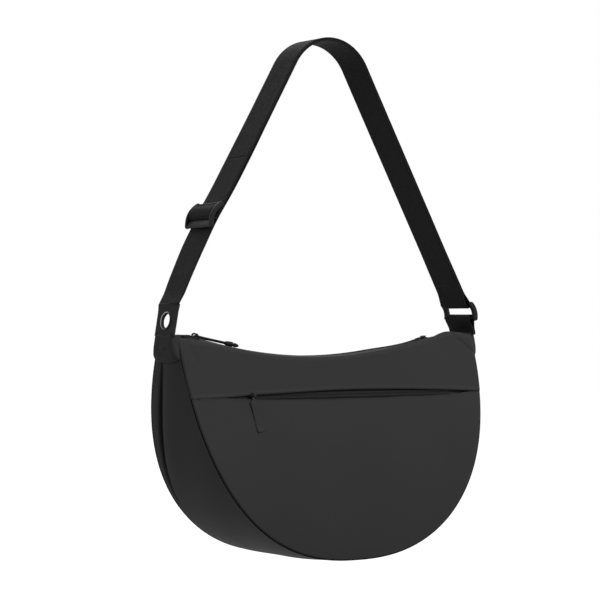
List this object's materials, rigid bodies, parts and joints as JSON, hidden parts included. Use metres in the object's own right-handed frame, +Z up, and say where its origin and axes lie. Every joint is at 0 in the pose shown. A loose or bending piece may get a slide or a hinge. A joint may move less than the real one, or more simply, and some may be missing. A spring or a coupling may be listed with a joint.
{
  "type": "sling bag",
  "caption": "Half-moon sling bag with a zipped mouth, a zipped front pocket and one webbing strap with an adjuster, a rectangular ring and an eyelet.",
  "frame": {"origin": "middle of the strap's underside at its highest point, where it rests on a shoulder or a hook", "axes": "+Z up, +X along the bag's length towards the ring, -Y towards the front pocket"},
  "size_m": [0.3591, 0.104, 0.489],
  "materials": {
    "shell_fabric": "matte coated weave",
    "lining_fabric": "thin plain weave",
    "binding": "ribbed tape",
    "webbing": "ribbed webbing",
    "thread": "bonded thread",
    "zip_tape": "knitted tape",
    "zip_coil": "nylon coil",
    "black_plastic": "moulded, satin to gloss",
    "slider_metal": "black enamel",
    "eyelet_metal": "black nickel plate"
  },
  "bodies": {
    "strap": {"strap_main_webbing": "webbing", "strap_return_webbing": "webbing", "strap_sewn_end": "webbing", "strap_tab": "shell_fabric", "eyelet": "eyelet_metal", "eyelet_washer": "eyelet_metal", "ring_lower_loop": "webbing", "strap_bartacks": "thread"},
    "adjuster": {"adjuster_frame": "black_plastic", "adjuster_loop": "webbing"},
    "ring": {"strap_ring": "black_plastic"},
    "bag": {"gusset": "shell_fabric", "back_panel": "shell_fabric", "front_yoke": "shell_fabric", "pocket_panel": "shell_fabric", "pocket_lining": "lining_fabric", "main_lining": "lining_fabric", "front_seam_binding": "binding", "back_seam_binding": "binding", "mouth_ends": "shell_fabric", "left_root_patch": "shell_fabric", "right_root_patch": "shell_fabric", "main_zip_tape_front": "zip_tape", "main_zip_tape_back": "zip_tape", "main_zip_coil_front": "zip_coil", "main_zip_coil_back": "zip_coil", "main_zip_stops": "zip_coil", "pocket_zip_tape_lower": "zip_tape", "pocket_zip_tape_upper": "zip_tape", "pocket_zip_coil_lower": "zip_coil", "pocket_zip_coil_upper": "zip_coil", "pocket_zip_stops": "zip_coil"},
    "main_slider": {"main_slider": "slider_metal"},
    "main_pull": {"main_pull_tape": "zip_tape", "main_pull_end": "black_plastic"},
    "pocket_slider": {"pocket_slider": "slider_metal"},
    "pocket_pull": {"pocket_pull": "shell_fabric"}
  },
  "joints": [
    {"name": "adjuster_slide", "type": "slide", "parent": "strap", "child": "adjuster", "axis": [0.5047, 0, 0.8633], "range_m": [-0.07, 0.04], "deforming": ["strap_sewn_end"]},
    {"name": "ring_tilt", "type": "hinge", "parent": "strap", "child": "ring", "pos_m": [0.1715, 0, -0.249], "axis": [0, 1, 0], "range_deg": [-2.5, 2.5]},
    {"name": "bag_swing", "type": "hinge", "parent": "strap", "child": "bag", "pos_m": [0, 0, -0.2775], "axis": [1, 0, 0], "range_deg": [-30, 30]},
    {"name": "main_slider_run", "type": "hinge", "parent": "bag", "child": "main_slider", "pos_m": [-0.012, 0, 0.207], "axis": [0, -1, 0], "range_deg": [0, 29.74]},
    {"name": "main_pull_swing", "type": "hinge", "parent": "main_slider", "child": "main_pull", "pos_m": [-0.1413, 0, -0.27837], "axis": [0, -1, 0], "range_deg": [0, 110]},
    {"name": "pocket_slider_run", "type": "slide", "parent": "bag", "child": "pocket_slider", "axis": [1, 0, 0], "range_m": [-0.01375, 0.21975]},
    {"name": "pocket_pull_swing", "type": "hinge", "parent": "pocket_slider", "child": "pocket_pull", "pos_m": [-0.103, -0.03554, -0.33184], "axis": [-1, 0, 0], "range_deg": [0, 110]}
  ]
}
